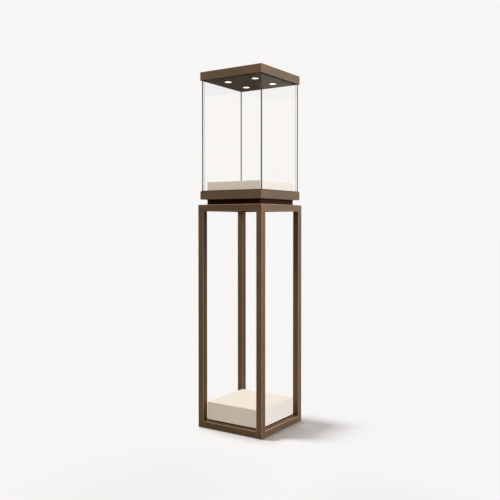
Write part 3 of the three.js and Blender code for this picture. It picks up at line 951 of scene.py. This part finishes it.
@dataclass
class LacqueredBlock(SubAssembly):
    """A lacquered box of board, open at the bottom, with rounded edges."""

    body: str = "stand"
    node: str = "block_casing"
    name: str = "plinth_block"
    board: float = 12 * MM
    corner: float = 2 * MM
    corner_flats: int = 6
    top_round: float = 1.4 * MM
    spread: float = 0.0  # how much wider than its node the box is on each side

    def build(self) -> None:
        """Builds the box."""
        low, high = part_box(self.node)
        wider = Vector((self.spread, self.spread, 0))
        box = block(self.name, low - wider, high + wider)
        with Bench(box) as bench:
            bench.edges_along(Axis.Z)
            bench.bevel(self.corner, self.corner_flats)
            bench.edges_at(high.z)
            bench.bevel(self.top_round)
            bench.faces_towards(-Axis.Z.value)
            bench.inset(self.board)
            bench.push(Vector((0, 0, high.z - low.z - self.board)))
        self.hand_over(box, CREAM, [self.node])


@dataclass
class PlinthInside(SubAssembly):
    """What stands inside the plinth block: its carcass and the ballast."""

    body: str = "stand"

    def build(self) -> None:
        """Dresses the carcass and the ballast plates."""
        # the carcass shows as the dark line in the shadow gap under the block: stain and painted shade
        self.dress("block_carcass", STAINED_SHADED_BOARD)
        self.dress("ballast_plate_1", IRON)
        self.dress("ballast_plate_2", IRON)


@dataclass
class Tray(SubAssembly):
    """The neck and the tray that it carries, with the deck board and the gasket in it."""

    body: str = "stand"
    sheet: float = 2 * MM
    sheet_round: float = 0.6 * MM
    lip_round: float = 0.5 * MM
    head_round: float = 0.8 * MM
    socket_depth: float = 2 * MM
    bolt_flats: int = 36

    def build(self) -> None:
        """Builds the sheet pieces, the gasket and the bolts."""
        # the neck's near-black coat is partly painted shade under the tray
        self.soften("neck_box", self.sheet_round, DARK_BRONZE)
        self.soften("tray_shell", self.sheet_round, FASCIA)
        # the deck is the same board, darkened in part as painted shade
        self.soften("deck_board", self.sheet_round, STAINED_SHADED_BOARD)
        self.soften("seat_gasket", self.lip_round, RUBBER)
        self.build_bolts()

    def build_bolts(self) -> None:
        """Builds the four socket bolts that hold the tray down on the neck."""
        foot, top = (corner.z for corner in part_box("tray_bolt_1"))
        head = half_width("tray_bolt_1")
        shank, socket = head * SHANK_SHARE, head * SOCKET_SHARE
        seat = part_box("tray_shell")[0].z + self.sheet
        stem = [(shank, foot), (shank, seat), (head, seat)]
        hole = [(socket, top), (socket, top - self.socket_depth)]
        profile = [*stem, *shoulder(head, top, self.head_round), *hole]
        bolt = turned("bolt", profile, self.bolt_flats)
        for number in FOUR:
            self.stand_in(bolt, f"socket_bolt_{number}", f"tray_bolt_{number}", STEEL)
        bpy.data.objects.remove(bolt)


@dataclass
class GlassBox(SubAssembly):
    """Four panes with ground and arrised edges."""

    body: str = "glass_box"
    arris: float = 0.8 * MM
    arris_flats: int = 2

    def build(self) -> None:
        """Builds the four panes."""
        for side in SIDES:
            node = f"pane_{side}"
            pane = block(f"{side}_pane", *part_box(node))
            bonded = (Axis.Y,) if side in ("front", "back") else (Axis.X, Axis.Y)
            pane.data.materials.append(GLASS.material())
            pane.data.materials.append((BACK_GLASS_EDGE if side == "back" else GLASS_EDGE).material())
            with Bench(pane) as bench:
                bpy.ops.mesh.select_all(action="SELECT")
                bench.bevel(self.arris, self.arris_flats)
                bench.pick(
                    Part.FACE,
                    lambda face: all(abs(face.normal.dot(axis.value)) < FLAT for axis in bonded),
                )
                pane.active_material_index = 1
                bpy.ops.object.material_slot_assign()
            self.hand_over(pane, GLASS, [node])


@dataclass
class Downlights(SubAssembly):
    """The four lamps of the canopy: trim rings, lenses and heat sinks."""

    body: str = "canopy"
    flange_round: float = 0.6 * MM
    face_gap: float = 2.5 * MM  # the face's radius is this much less than the flange's
    face_end: float = -20.0  # the angle at which the round of the face ends, in degrees
    lip_start: float = -35.0  # and that at which the round of the rim starts
    lip_height: float = 1.5 * MM  # from the soffit to the centre of the rim's round
    lip_flats: int = 3
    barrel_gap: float = 4.5 * MM  # the barrel's radius is this much less than the flange's
    play: float = 0.3 * MM  # round the lens and behind it
    ledge: float = 2 * MM  # what the lens rests on
    rebate_edge: float = 0.4 * MM
    dome: float = 0.8 * MM
    dome_flats: int = 8

    def build(self) -> None:
        """Builds the trim ring and the lens once, and copies them to the four lamps."""
        ring = self.trim_ring()
        lens = self.lens()
        for number in FOUR:
            self.stand_in(ring, f"downlight_trim_{number}", f"lamp_trim_ring_{number}", SOFFIT_PAINT)
            self.stand_in(lens, f"downlight_lens_{number}", f"lamp_lens_{number}", LENS)
            self.dress(f"lamp_heat_sink_{number}", ALUMINIUM)
        bpy.data.objects.remove(ring)
        bpy.data.objects.remove(lens)

    def trim_ring(self) -> Piece:
        """The trim ring of a downlight, on the Z axis at its own height.

        Returns:
            The ring.
        """
        face, top = (corner.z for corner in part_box("lamp_trim_ring_1"))
        flange = half_width("lamp_trim_ring_1")
        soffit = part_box("soffit_panel")[0].z
        rebate = half_width("lamp_lens_1") + self.play
        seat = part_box("lamp_lens_1")[1].z + self.play
        bore = rebate - self.ledge
        barrel = flange - self.barrel_gap
        edge = self.flange_round
        start = (rebate + self.rebate_edge, face)
        profile = [
            start,
            *arc((flange - self.face_gap - edge, face + edge), edge, DOWN, self.face_end),
            *arc((flange - edge, soffit - self.lip_height), edge, self.lip_start, OUT, self.lip_flats),
            (flange, soffit),
            (barrel, soffit),
            (barrel, top),
            (bore, top),
            (bore, seat),
            (rebate, seat),
            (rebate, face + self.rebate_edge),
            start,
        ]
        return turned("trim_ring", profile)

    def lens(self) -> Piece:
        """The domed lens of a downlight, on the Z axis at its own height.

        Returns:
            The lens.
        """
        tip, back = (corner.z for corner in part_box("lamp_lens_1"))
        radius = half_width("lamp_lens_1")
        front = tip + self.dome
        profile = [(radius, back), (radius, front)]
        for step in range(1, self.dome_flats):
            angle = math.pi / 2 * step / self.dome_flats
            profile.append((radius * math.cos(angle), front - self.dome * math.sin(angle)))
        lens = turned("lens", [*profile, (0.0, tip)])
        mark_way_out(lens, radius)
        return lens


@dataclass
class SwitchButton(SubAssembly):
    """The button of the push switch, which has a body of its own."""

    body: str = "switch_button"
    rounding: float = 0.6 * MM
    dish: float = 0.35 * MM
    dish_rings: tuple[float, ...] = (0.7, 0.45, 0.2)  # shares of the button's radius

    def build(self, place: Vector, turn: tuple[float, float, float]) -> None:
        """Builds the button with a hollow in its face for the finger.

        Args:
            place: where the switch's axis goes through the back of the canopy.
            turn: how that axis is turned from Z.
        """
        low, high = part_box("switch_button")
        inner, outer = low.y - place.y, high.y - place.y
        radius = (high.z - low.z) / 2
        hollow = [(radius * share, outer - self.dish * (1 - share**2)) for share in self.dish_rings]
        cap = turned("cap", [(radius, inner), *shoulder(radius, outer, self.rounding), *hollow])
        self.hand_over(copy_at(cap, "switch_push_button", place, turn), STEEL, ["switch_button"], edged=False)
        bpy.data.objects.remove(cap)


@dataclass
class Canopy(SubAssembly):
    """The lit canopy: folded cap, gasket, soffit with four downlights, and what feeds them."""

    body: str = "canopy"
    sheet_round: float = 0.6 * MM
    soffit_round: float = 0.4 * MM
    lip_round: float = 0.5 * MM
    lip_cut: float = 2.5 * MM
    socket_depth: float = 1.4 * MM
    screw_flats: int = 32
    bezel_lap: float = 2 * MM  # the switch's barrel is this much slimmer than its bezel
    bezel_round: float = 0.8 * MM
    bezel_flats: int = 5
    button_play: float = 0.25 * MM
    bore_edge: float = 0.3 * MM
    button_room: float = 1.75 * MM  # behind the button

    def build(self) -> None:
        """Builds the shell, the screws, the downlights and the switch, and dresses what is inside."""
        self.soften("canopy_cap", self.sheet_round, FASCIA)
        self.hand_over(self.head_gasket(), RUBBER, ["head_gasket"])
        self.soften("soffit_panel", self.soffit_round, SOFFIT_PAINT)
        self.build_screws()
        Downlights().build()
        self.build_switch()
        self.dress("battery_pack", WRAP)
        self.dress("driver", PLASTIC)
        self.dress("harness", RUBBER)
        self.dress("switch_nut", STEEL)

    def head_gasket(self) -> Piece:
        """The gasket round the glass, with its two lips cut back.

        Returns:
            The gasket.
        """
        gasket = softened_copy("head_gasket", self.lip_round)
        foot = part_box("head_gasket")[0].z + self.lip_cut
        with Bench(gasket) as bench:
            bench.cut(Vector((0, 0, foot)), -Axis.Z.value)
            bench.close_up()
        return gasket

    def build_screws(self) -> None:
        """Builds the four countersunk screws in the soffit."""
        face, end = (corner.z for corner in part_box("soffit_screw_1"))
        head = half_width("soffit_screw_1")
        shank, socket = head * SHANK_SHARE, head * SOCKET_SHARE
        hole = [(socket, face + self.socket_depth), (socket, face)]
        profile = [*hole, (head, face), (shank, face + head - shank), (shank, end)]
        screw = turned("screw", profile, self.screw_flats)
        for number in FOUR:
            self.stand_in(screw, f"countersunk_screw_{number}", f"soffit_screw_{number}", BLACK_STEEL)
        bpy.data.objects.remove(screw)

    def build_switch(self) -> None:
        """Builds the housing of the push switch on the back, and its button."""
        low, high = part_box("switch_housing")
        button_low, button_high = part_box("switch_button")
        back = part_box("canopy_cap")[1].y
        bezel = (high.z - low.z) / 2
        barrel = bezel - self.bezel_lap
        bore = (button_high.z - button_low.z) / 2 + self.button_play
        face = high.y - back
        profile = [
            (barrel, low.y - back),
            (barrel, 0.0),
            (bezel, 0.0),
            *shoulder(bezel, face, self.bezel_round, self.bezel_flats),
            (bore + self.bore_edge, face),
            (bore, face - self.bore_edge),
            (bore, button_low.y - back - self.button_room),
        ]
        housing = turned("housing", profile)
        place = Vector((0, back, (low.z + high.z) / 2))
        turn = (-math.pi / 2, 0, 0)
        piece = copy_at(housing, "switch_bezel", place, turn)
        self.hand_over(piece, PLASTIC, ["switch_housing"], edged=False)
        bpy.data.objects.remove(housing)
        SwitchButton().build(place, turn)


# Studio -----------------------


def linked(name: str, pieces: list[Piece], reach: Reach) -> bpy.types.Collection:
    """A collection that tells a lamp which objects it lights or is blocked by.

    Args:
        name: the collection's name.
        pieces: the objects it names.
        reach: whether it stands for these alone or for all others.

    Returns:
        The collection.
    """
    group = bpy.data.collections.new(name)
    for piece in pieces:
        group.objects.link(piece)
    for link in group.collection_objects:
        link.light_linking.link_state = reach.value
    return group


@dataclass(frozen=True)
class Lamp:
    """A lamp so far away that its light is parallel."""

    name: str
    azimuth: float  # the side that it stands on, in degrees from +X towards +Y
    height: float  # above the horizon, in degrees
    spread: float  # the angle that it takes up, in degrees, which softens its shadows
    light: float  # what it gives the floor, where 1 shows a colour as it is
    colour: Colour

    def hang(self, lit: bpy.types.Collection, blocking: bpy.types.Collection) -> None:
        """Adds the lamp to the scene.

        Args:
            lit: tells what it lights.
            blocking: tells what casts a shadow in its light.
        """
        lift = math.radians(self.height)
        side = math.radians(self.azimuth)
        data = bpy.data.lights.new(self.name, "SUN")
        data.energy = self.light * math.pi / math.sin(lift)
        data.angle = math.radians(self.spread)
        data.color = self.colour
        lamp = added(self.name, data)
        towards = Vector((math.cos(side) * math.cos(lift), math.sin(side) * math.cos(lift), math.sin(lift)))
        lamp.rotation_euler = towards.to_track_quat("Z", "Y").to_euler()
        lamp.light_linking.receiver_collection = lit
        lamp.light_linking.blocker_collection = blocking


WARM_LIGHT = (1.0, 0.965, 0.905)
COOL_LIGHT = (0.985, 1.015, 1.09)
FLOOR_COLOUR = (1.0, 1.025, 1.035)
FLOOR_LIGHT = 0.8  # what the four floor lamps give together
LEFT_LAMP = Lamp("left lamp", azimuth=228, height=42, spread=30, light=0.53, colour=WARM_LIGHT)
LOW_LAMP = Lamp("right lamp", azimuth=33, height=7, spread=24, light=0.078, colour=COOL_LIGHT)
UPPER_LAMP = Lamp("upper right lamp", azimuth=29, height=36, spread=32, light=0.312, colour=COOL_LIGHT)
FLOOR_LAMPS = (
    Lamp("long shadow", azimuth=199, height=25, spread=18, light=FLOOR_LIGHT * 0.59, colour=FLOOR_COLOUR),
    Lamp("longest shadow", azimuth=207, height=19, spread=9, light=FLOOR_LIGHT * 0.11, colour=FLOOR_COLOUR),
    Lamp("near shadow", azimuth=147, height=40, spread=16, light=FLOOR_LIGHT * 0.18, colour=FLOOR_COLOUR),
    Lamp("front shadow", azimuth=102, height=48, spread=30, light=FLOOR_LIGHT * 0.12, colour=FLOOR_COLOUR),
)


@dataclass
class Studio:
    """The floor, the lamps, the world and the camera."""

    backdrop: Colour = (0.939, 0.923, 0.913)  # of the floor too, so that no line shows between them
    world_light: float = 0.2
    world_colour: Colour = (1.0, 0.9, 0.86)
    floor_glow: float = 0.09  # the share of what the floor shows that it gives by itself
    floor_bounce: Colour = (0.16, 0.15, 0.14)
    floor_size: float = 60.0
    sensor_width: float = 36.0  # in millimetres, as the camera takes it
    image_width: float = 500.0  # pixels, and so are the next two
    focal_pixels: float = 684.74
    middle_row: float = 235.0  # where the line of sight goes through the picture
    heading: float = math.radians(33.694)
    tilt: float = math.radians(0.986)  # how far the camera looks down
    eye_height: float = 0.94676
    aside: float = 0.0514  # the near edge of the case to the right of the line of sight
    away: float = 2.972  # the near edge of the case from the camera

    def build(self) -> None:
        """Builds the whole studio."""
        self.build_camera()
        self.build_world()
        self.build_floor()
        self.build_lamps()
        bpy.context.scene.view_settings.view_transform = "Standard"

    def build_camera(self) -> None:
        """Sets up the camera where the fit to the case's own edges puts it."""
        data = bpy.data.cameras.new("camera")
        camera = added("camera", data)
        low, high = CAD_BOX
        near_edge = Vector((high.x, low.y, 0))
        right = Vector((math.cos(self.heading), math.sin(self.heading), 0))
        ahead = Vector((-math.sin(self.heading), math.cos(self.heading), 0))
        camera.location = near_edge - right * self.aside - ahead * self.away
        camera.location.z = self.eye_height
        camera.rotation_euler = (math.pi / 2 - self.tilt, 0, self.heading)
        data.sensor_width = self.sensor_width
        data.lens = self.sensor_width * self.focal_pixels / self.image_width
        data.shift_y = (self.middle_row - self.image_width / 2) / self.image_width
        bpy.context.scene.camera = camera

    def build_world(self) -> None:
        """Sets a pale backdrop for what is seen and mirrored, and an even light for the rest."""
        world = bpy.data.worlds.new("studio")
        bpy.context.scene.world = world
        shader = Shader(world)
        looked_at = shader.looked_at()
        around, even = (
            shader.node("ShaderNodeBackground", {}, {"Color": colour, "Strength": strength})
            for colour, strength in ((self.backdrop, 1.0), (self.world_colour, self.world_light))
        )
        shader.surface(shader.blend(looked_at, even, around))

    def build_floor(self) -> None:
        """Lays the floor under the case."""
        bpy.ops.mesh.primitive_plane_add(size=self.floor_size, location=(0, 0, 0))
        floor = bpy.context.object
        floor.name = "floor"
        settle(floor)
        material = bpy.data.materials.new("floor")
        shader = Shader(material)
        lit = shader.node("ShaderNodeBsdfDiffuse", {}, {"Color": self.backdrop})
        glow = shader.node("ShaderNodeEmission", {}, {"Color": self.backdrop, "Strength": 1.0})
        shown = shader.blend(self.floor_glow, lit, glow)
        bounce = shader.node("ShaderNodeBsdfDiffuse", {}, {"Color": self.floor_bounce})
        shader.surface(shader.blend(shader.looked_at(), bounce, shown))
        floor.data.materials.append(material)

    def build_lamps(self) -> None:
        """Hangs the three lamps that light the case and the four that draw its shadow on the floor."""
        floor = [bpy.data.objects["floor"]]
        panes = [piece for piece in bpy.data.objects if piece.name.endswith("_pane")]
        posts = [piece for piece in bpy.data.objects if piece.name.endswith("_post")]
        left_posts = [piece for piece in posts if "left" in piece.name]
        blocking = linked("past the posts", posts + panes, Reach.ALL_BUT_THESE)
        for lamp, shaded in ((LEFT_LAMP, []), (LOW_LAMP, left_posts), (UPPER_LAMP, [])):
            lamp.hang(linked("off floor and glass", floor + panes + shaded, Reach.ALL_BUT_THESE), blocking)
        for lamp in FLOOR_LAMPS:
            lamp.hang(linked("on the floor", floor, Reach.ONLY_THESE), blocking)


def main() -> None:
    """Builds the case, piece by piece, and the studio round it."""
    logging.basicConfig(level=logging.INFO, format="%(name)s: %(message)s")
    OpenFrame().build()
    LacqueredBlock(corner=0.8 * MM, top_round=0.6 * MM, spread=1.3 * MM).build()
    PlinthInside().build()
    Tray().build()
    LacqueredBlock(node="exhibit_block", name="exhibit_plinth").build()
    GlassBox().build()
    Canopy().build()
    Studio().build()


if __name__ == "__main__":
    main()
